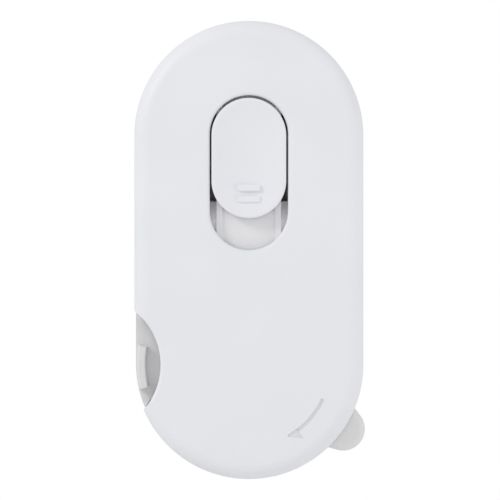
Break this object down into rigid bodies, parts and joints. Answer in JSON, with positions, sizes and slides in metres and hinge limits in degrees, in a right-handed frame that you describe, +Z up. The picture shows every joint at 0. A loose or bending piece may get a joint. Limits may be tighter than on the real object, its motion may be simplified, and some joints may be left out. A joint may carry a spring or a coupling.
{
  "type": "stair gate latch",
  "caption": "Rounded upright wall latch with a recessed thumb slide that locks it and a part-turn wheel, worked by a finger tab, that drives a side bolt.",
  "frame": {"origin": "Middle of the flat back face, where the foam pad meets the wall.", "axes": "+Z up along the length, +X to the right of someone facing the front, +Y into the wall, so the front faces -Y."},
  "size_m": [0.0606, 0.0252, 0.12],
  "materials": {
    "cover_plastic": "white moulded shell, fine satin grain",
    "shell_plastic": "white moulded shell, fine satin grain",
    "button_plastic": "white moulded button, smooth satin",
    "wheel_plastic": "white moulded plastic, satin",
    "bridge_plastic": "white moulded plastic, satin",
    "acetal": "natural acetal, waxy",
    "plated_steel": "zinc-plated steel",
    "bush_brass": "turned brass",
    "washer_steel": "plain steel washer",
    "screw_steel": "zinc-plated screw",
    "spring_steel": "spring steel strip",
    "pad_foam": "soft foam rubber"
  },
  "bodies": {
    "casing": {"front_cover": "cover_plastic", "rear_shell": "shell_plastic", "wall_plate": "plated_steel", "backing_pad": "pad_foam", "slide_bridge": "bridge_plastic", "bolt_guide": "acetal", "pivot_post": "plated_steel", "pivot_screw": "screw_steel", "thrust_washer": "washer_steel", "wheel_washer": "washer_steel", "case_screws": "screw_steel", "bridge_screws": "screw_steel", "plate_screws": "screw_steel", "wheel_detent_spring": "spring_steel", "slide_detent_spring": "spring_steel"},
    "wheel": {"turn_wheel": "wheel_plastic", "wheel_bush": "bush_brass", "gear_sector": "acetal", "sector_screws": "screw_steel"},
    "bolt": {"rack_carrier": "acetal", "bolt_tongue": "plated_steel", "tongue_pins": "plated_steel"},
    "slide": {"slide_button": "button_plastic", "lock_bar": "acetal"}
  },
  "joints": [
    {"name": "wheel_turn", "type": "hinge", "parent": "casing", "child": "wheel", "pos_m": [0, -0.0124, -0.03], "axis": [0, 1, 0], "range_deg": [0, 36], "deforming": ["wheel_detent_spring"]},
    {"name": "bolt_slide", "type": "slide", "parent": "casing", "child": "bolt", "axis": [1, 0, 0], "range_m": [0, 0.0118]},
    {"name": "safety_slide", "type": "slide", "parent": "casing", "child": "slide", "axis": [0, 0, -1], "range_m": [0, 0.0077], "deforming": ["slide_detent_spring"]}
  ],
  "couplings": [
    {"joint": "bolt_slide", "follows": "wheel_turn", "m_per_rad": 0.01875}
  ]
}
